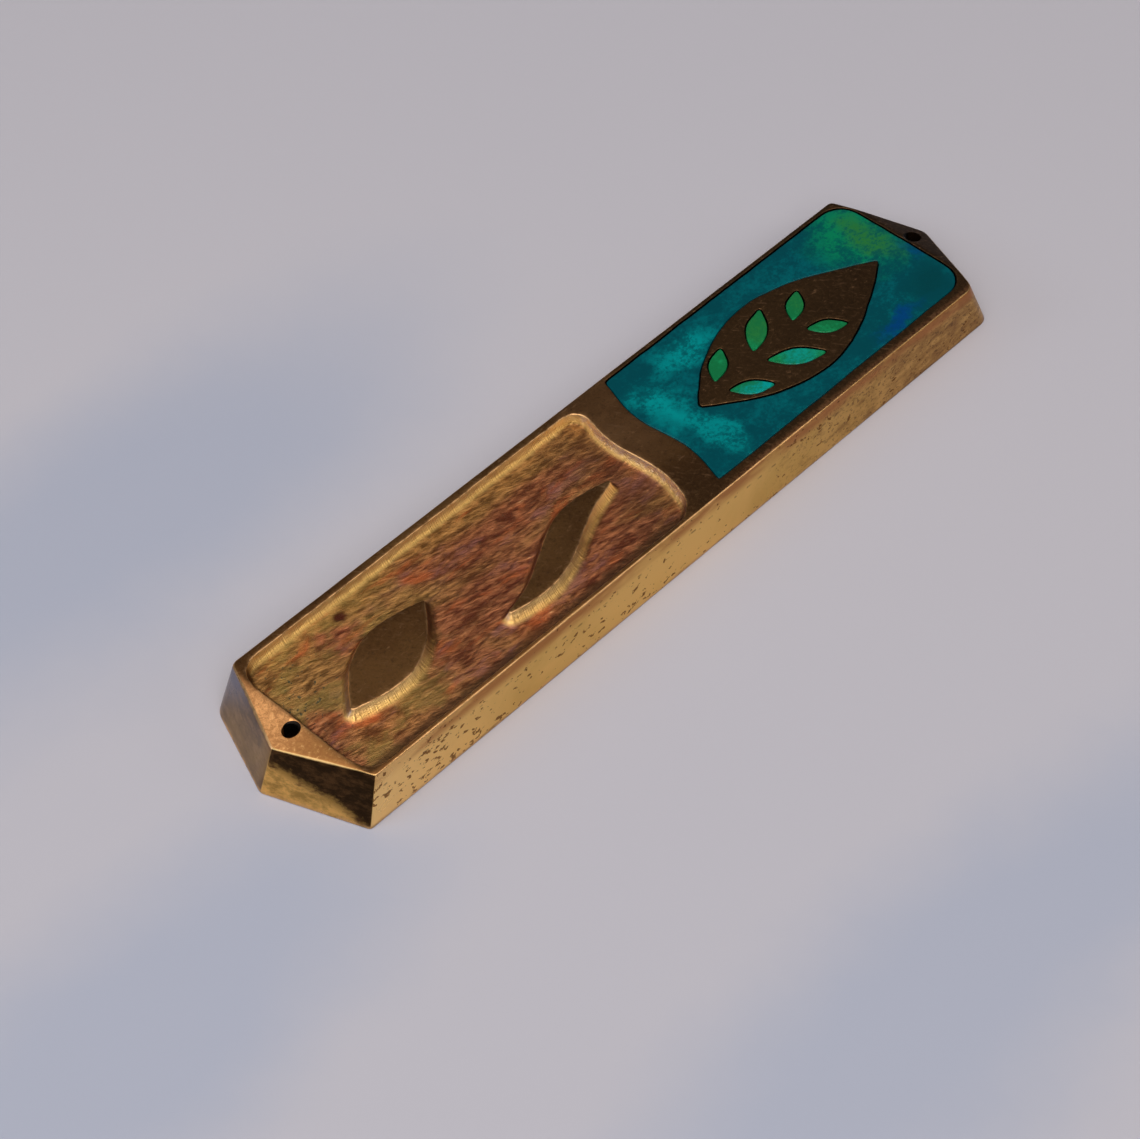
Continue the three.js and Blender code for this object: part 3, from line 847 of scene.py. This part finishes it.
class Graph:
    """A material's nodes, with one short call for each kind used here.
    Places on the object, reaches and depths are given in millimetres."""

    def __init__(self, name):
        self.material = bpy.data.materials.new(name)
        self.material.use_nodes = True
        self.nodes, self.links = self.material.node_tree.nodes, self.material.node_tree.links
        self.nodes.clear()
        self.place = self.node("ShaderNodeTexCoord", "Object")

    def put(self, socket, value):
        """Links a wire to a socket, or sets the socket's own value. Colours become opaque."""
        if isinstance(value, Wire):
            self.links.new(value.socket, socket)
        elif hasattr(socket.default_value, "__len__") and len(socket.default_value) == 4:
            socket.default_value = (*value, 1)
        else:
            socket.default_value = value

    def node(self, kind, output=0, inputs=None, **settings):
        """Adds a node and returns one of its outputs."""
        made = self.nodes.new(kind)
        for name, value in settings.items():
            setattr(made, name, value)
        for name, value in (inputs or {}).items():
            self.put(made.inputs[name], value)
        return Wire(self, made.outputs[output])

    def trait(self, name):
        return self.node("ShaderNodeAttribute", "Fac", attribute_name=name)

    def math(self, operation, a, b, clamp=False):
        return self.node("ShaderNodeMath", 0, {0: a, 1: b}, operation=operation, use_clamp=clamp)

    def vector(self, operation, a, b):
        return self.node("ShaderNodeVectorMath", 0, {0: a, 1: b}, operation=operation)

    def turned(self, degrees):
        """The place on the object, turned about the upright axis so that a stretched pattern runs aslant."""
        turn = (0, 0, math.radians(degrees))
        return self.node("ShaderNodeMapping", 0, {"Vector": self.place, "Rotation": turn})

    def noise(self, *repeats, place=None, detail=3.0, roughness=0.55, distortion=0.0):
        """Noise with so many repeats per metre along each axis."""
        vector = self.node("ShaderNodeMapping", 0, {"Vector": place or self.place, "Scale": repeats})
        inputs = {"Vector": vector, "Scale": 1.0, "Detail": detail, "Roughness": roughness}
        return self.node("ShaderNodeTexNoise", "Fac", {**inputs, "Distortion": distortion})

    def range(self, value, low, high, to_low=0.0, to_high=1.0):
        return self.node("ShaderNodeMapRange", "Result", {
            "Value": value, "From Min": low, "From Max": high, "To Min": to_low, "To Max": to_high,
        }, interpolation_type="SMOOTHSTEP")

    def axis(self, name, place=None):
        return self.node("ShaderNodeSeparateXYZ", name, {"Vector": place or self.place})

    def over(self, axis, start, stop, to_low=0.0, to_high=1.0, place=None):
        """A number that changes between two places along an axis."""
        return self.range(self.axis(axis, place), start * MM, stop * MM, to_low, to_high)

    def mix(self, share, a, b):
        return self.node("ShaderNodeMix", 2, {0: share, 6: a, 7: b}, data_type="RGBA")

    def coats(self, colour, *coats):
        """A colour under coats, each given as its share and its own colour."""
        for share, coat in coats:
            colour = self.mix(share, colour, coat)
        return colour

    def blend(self, share, a, b):
        """A number between two others."""
        return self.node("ShaderNodeMix", 0, {0: share, 2: a, 3: b}, data_type="FLOAT")

    def shaken(self, amount, scale):
        """The place on the object, pushed about by noise so that edges drawn by it aren't straight."""
        inputs = {"Vector": self.place, "Scale": scale, "Detail": 6.0, "Roughness": 0.65}
        push = self.vector("SUBTRACT", self.node("ShaderNodeTexNoise", "Color", inputs), (0.5, 0.5, 0.5))
        return self.vector("ADD", self.place, self.vector("MULTIPLY", push, (amount * MM,) * 3))

    def spot(self, place, x, y, reach_x, reach_y):
        """1 at a place, fading to 0 at its reach."""
        away = self.vector("SUBTRACT", place, (x * MM, y * MM, 0))
        away = self.vector("MULTIPLY", away, (1 / (reach_x * MM), 1 / (reach_y * MM), 0))
        distance = self.node("ShaderNodeVectorMath", "Value", {0: away}, operation="LENGTH")
        return self.range(distance, 1.0, 0.25)

    def bump(self, height, depth, strength, normal=None):
        inputs = {"Height": height, "Distance": depth * MM, "Strength": strength}
        return self.node("ShaderNodeBump", 0, {**inputs, "Normal": normal} if normal else inputs)

    def surface(self, **inputs):
        """The Principled shader, with its sockets named in words joined by underscores."""
        sockets = {name.replace("_", " ").title().replace("Ior", "IOR"): inputs[name] for name in inputs}
        shader = self.node("ShaderNodeBsdfPrincipled", "BSDF", sockets)
        self.put(self.nodes.new("ShaderNodeOutputMaterial").inputs["Surface"], shader)
        return self.material


# ---- materials ----

def dull_facet(g, rag):
    """The lower end's left facet: dull brown, greyer towards the top, with a painted bluish reflection at its
    upper left.
    """
    sheen = g.axis("Z") - g.axis("X") * 0.8
    return g.coats(
        g.mix(g.over("Z", 1.0, 6.0), (0.15, 0.095, 0.06), (0.100, 0.074, 0.070)),
        (g.range(rag, 0.42, 0.65), (0.24, 0.15, 0.10)),
        (g.over("X", -2.5, -0.3, 0, 0.6), (0.11, 0.05, 0.035)),
        # painted reflection of the cool window lamp at the facet's upper left
        (g.range(sheen, 10 * MM, 16 * MM, 0, 0.75), (0.27, 0.28, 0.35)),
    )


def brass_walls(g, patches):
    """The outer walls: golden, redder near the top, with a thin broken line and small dark pits.
    The upper part of the lower end's right facet is painted dark, a painted reflection of something dark.
    Returns their colour and where the pits are."""
    grey, smoky = g.trait("grey"), g.trait("smoky")
    blotches = g.noise(260, 90, 420, detail=4)
    rag = g.noise(420, 420, 900, detail=7, roughness=0.7)

    far_part = g.over("Y", 8, 34)
    mottling = g.noise(520, 260, 800, detail=6, roughness=0.7)
    dots = g.range(g.noise(2600, 1700, 2600), 0.57, 0.64)
    band = g.over("Z", 4.9, 6.5) * g.range(blotches, 0.40, 0.6, 0.3, 1)
    off_line = g.math("ABSOLUTE", g.axis("Z", g.shaken(0.5, 60)) - 4.9 * MM, 0)
    line = g.range(off_line, 0.20 * MM, 0.05 * MM) * g.range(g.noise(0, 620, 0), 0.5, 0.62)
    foot = g.axis("Z") + blotches * (-1.6 * MM)

    # flecks of the noise above a limit are pits, which crowd at the foot and at the lower corner
    crowd = g.range(g.noise(70, 60, 190), 0.38, 0.66, 0.70, 0.585)
    limit = crowd - g.spot(g.place, 13, -57, 6, 22) * 0.055 - g.over("Z", 1.6, 0.3, 0, 0.04)
    clean = (smoky + grey) * 0.8
    pits = g.range(g.noise(1500, 850, 1600, roughness=0.6) - limit, 0.0, 0.045)
    pits = pits * g.math("SUBTRACT", g.range(g.trait("side"), 0.6, 0.95), clean, clamp=True)

    # painted reflection: the upper part of the lower end's right facet is painted dark, as if mirroring
    # something dark
    dark_reflection_edge = g.axis("Z") + g.axis("X") * 0.26 + rag * (4.4 * MM) + g.over("X", 10, 13.5, 0, 0.8 * MM)
    dark_reflection = g.range(dark_reflection_edge, 5.9 * MM, 7.3 * MM) * smoky
    dark_reflection_colour = g.mix(g.range(rag, 0.45, 0.65), (0.022, 0.010, 0.005), (0.080, 0.035, 0.014))
    tarnish = g.mix(g.range(rag, 0.35, 0.65), (0.40, 0.21, 0.044), (0.95, 0.52, 0.135))
    wall = g.coats(
        g.mix(g.range(patches, 0.35, 0.7), (0.63, 0.385, 0.100), (0.80, 0.50, 0.155)),
        (g.over("Y", -30, -58), (1.0, 0.64, 0.235)),
        (g.over("Y", 12, 50, 0, 0.85), (0.33, 0.165, 0.045)),
        (far_part * g.range(mottling, 0.48, 0.62, 0, 0.75), (0.62, 0.36, 0.11)),
        (far_part * g.range(mottling, 0.50, 0.36, 0, 0.6), (0.20, 0.085, 0.028)),
        (far_part * dots * 0.6, (0.11, 0.045, 0.018)),
        (band * 0.85, (0.40, 0.15, 0.045)),
        (line * 0.55, (0.12, 0.05, 0.02)),
        (pits * 0.85, (0.17, 0.068, 0.022)),
        (g.range(foot, -0.35 * MM, -0.75 * MM, 0, 0.7), (0.22, 0.10, 0.035)),
        (grey * g.range(patches, 0.3, 0.7, 0.95, 0.75), dull_facet(g, rag)),
        (smoky * 0.9, tarnish),
        (dark_reflection * 0.97, dark_reflection_colour),
    )
    return wall, pits


def brass_hollow(g, streaks):
    """The carved hollow: copper and gold ridges over darker furrows, olive specks near the lower end.
    Its lit walls, crest highlights, cool reflection and the shade along its walls are painted.
    """
    hollow, slope = g.trait("hollow"), g.trait("cut")
    height = g.trait("ridge") * 0.42 + (streaks - 0.5)
    shaken = g.shaken(6, 180)
    warm = g.noise(75, 38, 75, detail=4, distortion=0.7) + g.spot(shaken, 0, -14, 13, 26) * 0.14
    warm = warm + g.spot(shaken, -6.5, -45, 4, 5) * 0.35 + g.spot(shaken, 8.5, -9, 3, 9) * 0.3
    warm = warm - g.over("X", -7, -11, 0, 0.16)
    gold = g.mix(g.range(height, -0.20, 0.22), (0.11, 0.050, 0.015), (0.43, 0.220, 0.068))
    copper = g.mix(g.range(height, -0.20, 0.24), (0.11, 0.030, 0.014), (0.40, 0.150, 0.061))
    violet = g.range(g.noise(420, 150, 420, detail=4), 0.52, 0.66, 0, 0.6)
    crimson = g.range(g.noise(340, 110, 340, detail=5, distortion=0.5), 0.54, 0.68, 0, 0.7)
    olive = g.range(g.noise(220, 130, 220, detail=4), 0.45, 0.6, 0, 0.6)
    specks = g.range(g.noise(1700, 1300, 1700), 0.60, 0.68)
    lowest = g.spot(g.shaken(5, 200), -4, -54, 11, 9)
    # painted highlight: walls that face the lower right are painted bright gold, as if lit
    lit_wall_colour = g.mix(g.range(hollow, 0.2, 0.75), (1.0, 0.66, 0.26), (0.84, 0.53, 0.16))
    shadow = g.range(hollow, 0.02, 0.3) * g.range(hollow, 0.97, 0.6)
    shadow = shadow * g.math("SUBTRACT", 1.0, slope, clamp=True)
    return g.coats(
        g.mix(g.range(warm, 0.38, 0.66), gold, copper),
        # painted highlights on the ridge crests
        (g.range(height, 0.20, 0.34, 0, 0.55), (0.86, 0.54, 0.26)),
        (violet * g.range(warm, 0.42, 0.6), (0.25, 0.105, 0.085)),
        (crimson, (0.40, 0.10, 0.03)),
        (g.over("Y", -26, -50) * olive, (0.24, 0.17, 0.045)),
        (g.over("Y", -9, -2, 0, 0.35), (0.10, 0.040, 0.020)),
        # painted shadow along the foot of the hollow's right wall
        (g.over("X", 9.7, 11.0, 0, 0.85, g.shaken(1.4, 500)), (0.07, 0.032, 0.014)),
        (specks * g.blend(lowest, 0.25, 0.9), (0.040, 0.048, 0.030)),
        (slope * 0.8, lit_wall_colour),
        # painted reflection: walls facing the window lamp get a pale silvery tint
        (g.trait("pale") * g.range(streaks, 0.40, 0.60, 0.25, 0.8), (0.56, 0.41, 0.39)),
        (shadow * 0.7, (0.12, 0.045, 0.018)),
        (g.spot(g.shaken(1.2, 900), -9.2, -42.0, 1.25, 1.5), (0.055, 0.014, 0.008)),
    )


def brass_flats(g, patches, scuffs):
    """The flats: dark brown patina with lighter scuffs, rubbed bright on the lower nail pad.
    The pad also gets a painted highlight and painted glints, and the gaps round the enamel and the nail holes
    are painted near black as shade.
    """
    on_band = g.math("SUBTRACT", g.over("Y", -1, 2), g.over("Y", 8, 13), clamp=True)
    band_left = on_band * g.over("X", 6, -4) * g.range(patches, 0.35, 0.6, 0.35, 0.8)
    scratches = g.noise(500, 2600, 500, place=g.turned(-35), roughness=0.6)
    nicks = g.noise(1500, 520, 1000, detail=4, roughness=0.75)
    right_rim = g.over("X", 11.9, 12.3) * g.over("Y", 2, -30, 0, 0.85)
    dark = (0.050, 0.028, 0.012)
    # the rubbed pad and rim, with a painted highlight left of the nail hole, darker towards the ends
    buffed_with_highlight = g.coats(
        g.mix(g.over("X", -4, 5, place=g.shaken(3, 200)), (0.66, 0.32, 0.115), (0.30, 0.135, 0.040)),
        (g.over("X", -6.5, -10, 0, 0.7, g.shaken(3, 300)), (0.24, 0.10, 0.032)),
        (g.range(scuffs, 0.58, 0.40, 0, 0.65), (0.26, 0.105, 0.034)),
        # painted glints
        (g.range(scuffs, 0.56, 0.68, 0, 0.4), (0.90, 0.55, 0.22)),
    )
    shaded = g.mix(g.range(scuffs, 0.38, 0.62), (0.10, 0.042, 0.018), (0.34, 0.155, 0.060))
    return g.coats(
        g.mix(g.range(patches, 0.35, 0.7), (0.120, 0.052, 0.016), (0.19, 0.090, 0.028)),
        (g.over("Y", -45, 6, 0, 0.2), dark),
        (g.over("Y", 9, 15, 0, 0.72), dark),
        (band_left, (0.250, 0.125, 0.050)),
        (on_band * g.over("X", 2, 9, 0, 0.7), (0.065, 0.031, 0.012)),
        (g.range(scratches, 0.60, 0.70, 0, 0.5), (0.30, 0.16, 0.075)),
        (g.range(scuffs, 0.50, 0.70, 0, 0.5), (0.30, 0.15, 0.06)),
        (g.range(scuffs, 0.50, 0.34, 0, 0.6), (0.030, 0.015, 0.007)),
        (g.range(nicks, 0.60, 0.70, 0, 0.55), (0.38, 0.20, 0.09)),
        (g.math("MAXIMUM", g.over("Y", -57.2, -58.0), right_rim), buffed_with_highlight),
        (g.over("X", 11.7, 12.5, 0, 0.85, g.shaken(0.5, 500)) * g.over("Y", 4, 12), shaded),
        # painted shade: the narrow gaps round the enamel and the nail holes below their mouths are painted
        # near black
        (g.range(g.trait("land") * g.trait("hollow"), 0.004, 0.04), (0.012, 0.009, 0.007)),
    )


def aged_brass():
    """Cast brass: dark flats, a mottled copper and gold hollow, pitted golden walls and worn edges."""
    g = Graph("aged_brass")
    hollow = g.trait("hollow")
    on_flat, in_hollow = g.range(g.trait("land"), 0.3, 0.8), g.range(hollow, 0.03, 0.12)
    patches = g.noise(120, 60, 120, detail=4, distortion=0.6)
    streaks = g.noise(1900, 400, 1900, place=g.turned(13), detail=6, roughness=0.74, distortion=0.3)
    scuffs = g.noise(1500, 1500, 1500, detail=5, roughness=0.75, distortion=0.6)
    wall, pits = brass_walls(g, patches)
    rubbed = g.trait("wear") * g.range(g.noise(900, 900, 900, detail=4), 0.3, 0.62, 0.45, 1)
    rubbed = rubbed * g.over("Y", 10, 45, 1, 0.4)
    unpolished = g.mix(g.range(patches, 0.35, 0.65), (0.30, 0.19, 0.07), (0.50, 0.34, 0.13))
    colour = g.coats(
        unpolished,
        (g.range(g.trait("side"), 0.3, 0.8), wall),
        (in_hollow, brass_hollow(g, streaks)),
        (on_flat, brass_flats(g, patches, scuffs)),
        (g.range(rubbed, 0.15, 0.9), (0.70, 0.40, 0.17)),
    )
    rough = g.range(patches, 0.3, 0.7, 0.26, 0.40)
    rough = g.blend(on_flat, rough, g.range(scuffs, 0.4, 0.7, 0.44, 0.32))
    rough = g.blend(in_hollow, rough, g.range(streaks, 0.3, 0.7, 0.48, 0.30))
    rough = g.blend(pits, rough, 0.7)
    round_edge = g.node("ShaderNodeCombineXYZ", 0, {"X": g.trait("along")})
    normal = g.bump(streaks, 0.30, hollow * 0.85)
    normal = g.bump(g.noise(4.2, 1, 1, place=round_edge, detail=2), 0.16, g.trait("cut") * 0.9, normal)
    normal = g.bump(pits, -0.04, 0.7, normal)
    normal = g.bump(g.noise(1700, 700, 1700), 0.02, 0.35, normal)
    return g.surface(base_color=colour, metallic=1.0, roughness=rough, normal=normal)


def enamel(name, deep, bright, tints):
    """Vitreous enamel: mottled colour under a glossy ground surface.
    Each tint is a colour, its strength and where it lies: middle and reach in millimetres."""
    g = Graph(name)
    clouds = g.noise(190, 150, 100, detail=7, roughness=0.7, distortion=0.4)
    wisps = g.noise(1700, 1400, 300, detail=6, roughness=0.8)
    mottle = clouds * 0.55 + wisps * 0.45
    shaken = g.shaken(9, 150)
    colour = g.mix(g.range(mottle, 0.46, 0.62), deep, bright)
    for tint, strength, *where in tints:
        share = g.spot(shaken, *where) * g.range(mottle, 0.44, 0.55, 0.25, 1)
        colour = g.mix(share * strength, colour, tint)
    normal = g.bump(g.noise(240, 240, 240, detail=2), 0.15, 0.25)
    return g.surface(base_color=colour, metallic=0.0, roughness=0.14, specular_ior_level=0.12, normal=normal)


def brushed_brass():
    g = Graph("brushed_brass")
    lines = g.noise(2600, 26, 2600)
    stain = g.noise(120, 60, 120, detail=5, distortion=0.6)
    colour = g.mix(g.range(stain, 0.4, 0.68), (0.70, 0.48, 0.19), (0.42, 0.24, 0.09))
    colour = g.mix(g.range(lines, 0.55, 0.8, 0, 0.4), colour, (0.86, 0.64, 0.34))
    rough = g.range(stain, 0.35, 0.7, 0.24, 0.42)
    return g.surface(base_color=colour, metallic=1.0, roughness=rough, normal=g.bump(lines, 0.03, 0.5))


def parchment():
    g = Graph("parchment_skin")
    clouds = g.noise(150, 90, 150, detail=5)
    colour = g.mix(g.range(clouds, 0.35, 0.7), (0.78, 0.66, 0.44), (0.62, 0.48, 0.28))
    normal = g.bump(g.noise(2500, 2500, 2500, detail=2), 0.03, 0.4)
    return g.surface(base_color=colour, metallic=0.0, roughness=0.62, normal=normal)


def clear_film():
    g = Graph("clear_film")
    normal = g.bump(g.noise(300, 120, 300), 0.1, 0.3)
    clear = dict(base_color=(0.93, 0.95, 0.96), transmission_weight=1.0, ior=1.2)
    return g.surface(**clear, metallic=0.0, roughness=0.08, normal=normal)


def tabletop():
    """Matt and pale, with soft bluish painted shadows in streaks, and painted a little darker nearer to the
    viewer.
    """
    g = Graph("tabletop")
    shaken = g.shaken(40, 8)
    # where the painted shadows lie, and their reaches, in millimetres
    places = ((-46, -44, 32, 76), (17, -98, 26, 66), (82, -30, 25, 98))
    left, middle, right = (g.spot(shaken, *place) for place in places)
    shade = g.math("MAXIMUM", g.math("MAXIMUM", left, middle), right)
    # painted shade: a little darker nearer to the viewer
    nearness = g.axis("X") * 0.7 - g.axis("Y") * 0.71
    pale = g.mix(g.range(nearness, -40 * MM, 110 * MM), (0.334, 0.319, 0.334), (0.316, 0.305, 0.325))
    return g.surface(base_color=g.mix(shade, pale, (0.258, 0.271, 0.318)), metallic=0.0, roughness=0.7)


# ---- the pieces ----

def dress(obj, material, body, slot, *nodes):
    """Gives a piece its material and body, and lets it stand for CAD nodes. Its record slot is not used."""
    obj.data.materials.clear()
    obj.data.materials.append(material)
    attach(obj, body)
    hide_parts(*nodes)


dress(make_case(), aged_brass(), "case", "cast_brass", "case_body")
TURQUOISE, DEEP_TEAL, COBALT = (0.0, 0.20, 0.19), (0.0, 0.026, 0.030), (0.0, 0.018, 0.12)
SEA_GREEN, OLIVE_GREEN = (0.001, 0.13, 0.052), (0.018, 0.098, 0.012)
teal = enamel("teal_enamel", (0.0, 0.038, 0.046), (0.0, 0.069, 0.076), [
    (TURQUOISE, 0.72, -3, 12, 7, 5),
    (TURQUOISE, 0.7, -8, 22, 3.5, 9),
    (TURQUOISE, 0.6, 5, 13, 7, 3),
    (SEA_GREEN, 0.95, -6, 54, 10, 9),
    (OLIVE_GREEN, 0.7, -4, 55, 7, 3.5),
    (COBALT, 0.7, 9.5, 45.5, 2, 7),
    (COBALT, 0.45, 2, 57, 3, 2),
    (DEEP_TEAL, 0.8, 8, 54, 6, 6),
])
green = enamel("green_enamel", (0.004, 0.10, 0.030), (0.006, 0.18, 0.06), [
    (TURQUOISE, 0.9, 4.5, 23, 4, 5),
    (TURQUOISE, 0.6, 4.5, 31, 4, 4),
    (OLIVE_GREEN, 0.6, -4, 31, 3, 4),
    (OLIVE_GREEN, 0.5, -3, 39, 3, 3),
])
dress(enamel_piece("enamel_ground", FIELD, BIG_LEAF), teal, "case", "teal_enamel", "enamel_field")
for number, cell_outline in enumerate(CELLS, 1):
    piece = enamel_piece(f"enamel_vein_{number}", cell_outline)
    dress(piece, green, "case", "green_enamel", f"enamel_cell_{number}")
dress(make_plate(), brushed_brass(), "plate", "rolled_brass", "back_plate")
dress(make_scroll(), parchment(), "scroll_pack", "parchment", "scroll")
dress(make_sleeve(), clear_film(), "scroll_pack", "clear_film", "scroll_sleeve")


# ---- stage, light and camera ----

FLOOR_CLEARANCE = 0.02


def make_floor():
    mesh = bpy.data.meshes.new("floor")
    half = 3.0
    corners = [(-half, -half, 0), (half, -half, 0), (half, half, 0), (-half, half, 0)]
    mesh.from_pydata(corners, [], [(0, 1, 2, 3)])
    mesh.materials.append(tabletop())
    floor = link("floor", mesh)
    floor.location.z = -FLOOR_CLEARANCE * MM


def lamp(name, kind, place, power, colour, **settings):
    """A light that points at the middle of the case."""
    light = bpy.data.lights.new(name, kind)
    light.energy, light.color = power, colour
    for setting, value in settings.items():
        setattr(light, setting, value)
    obj = link(name, light)
    obj.location = place
    obj.rotation_euler = (-Vector(place)).to_track_quat("-Z", "Y").to_euler()


def softbox(name, place, width, height, power, colour):
    lamp(name, "AREA", place, power, colour, shape="RECTANGLE", size=width, size_y=height)


def make_world():
    world = bpy.data.worlds.new("studio")
    world.use_nodes = True
    background = world.node_tree.nodes["Background"]
    background.inputs["Color"].default_value = (0.80, 0.84, 1.0, 1)
    background.inputs["Strength"].default_value = 0.15
    bpy.context.scene.world = world


def make_camera():
    """The camera looks down over the lower right of the case, rolled a little."""
    azimuth, elevation, roll = math.radians(44.62), math.radians(49.05), math.radians(-1.484)
    distance = 0.397
    aim = Vector((5.18, -15.24, 3.65)) * MM
    outwards = math.cos(elevation)
    back = Vector((math.sin(azimuth) * outwards, -math.cos(azimuth) * outwards, math.sin(elevation)))
    right = Vector((math.cos(azimuth), math.sin(azimuth), 0))
    up = back.cross(right)
    turn = Matrix((right, up, back)).transposed() @ Matrix.Rotation(roll, 3, "Z")
    data = bpy.data.cameras.new("camera")
    data.sensor_width, data.lens = 36, 97.9
    data.clip_start, data.clip_end = 0.01, 20
    camera = link("camera", data)
    camera.matrix_world = Matrix.Translation(aim + back * distance) @ turn.to_4x4()
    bpy.context.scene.camera = camera


OVERHEAD = (0.15, -0.20, 0.78)
SOFT_WHITE = (1.0, 0.97, 0.98)

make_floor()
make_world()
softbox("front", (0.47, -0.47, 0.55), 0.5, 0.3, 1.75, (1.0, 0.97, 0.95))
softbox("overhead", OVERHEAD, 1.15, 1.15, 9.2, SOFT_WHITE)
# even light as far as the floor reaches, which the softboxes don't give
lamp("sky", "SUN", OVERHEAD, 0.8, SOFT_WHITE, angle=math.radians(60))
softbox("window", (-0.40, -0.66, 0.41), 0.32, 0.32, 1.5, (0.74, 0.84, 1.0))
softbox("side", (0.66, 0.41, 0.40), 0.34, 0.34, 0.9, (1.0, 0.92, 0.80))
make_camera()
bpy.context.scene.view_settings.view_transform = "Standard"
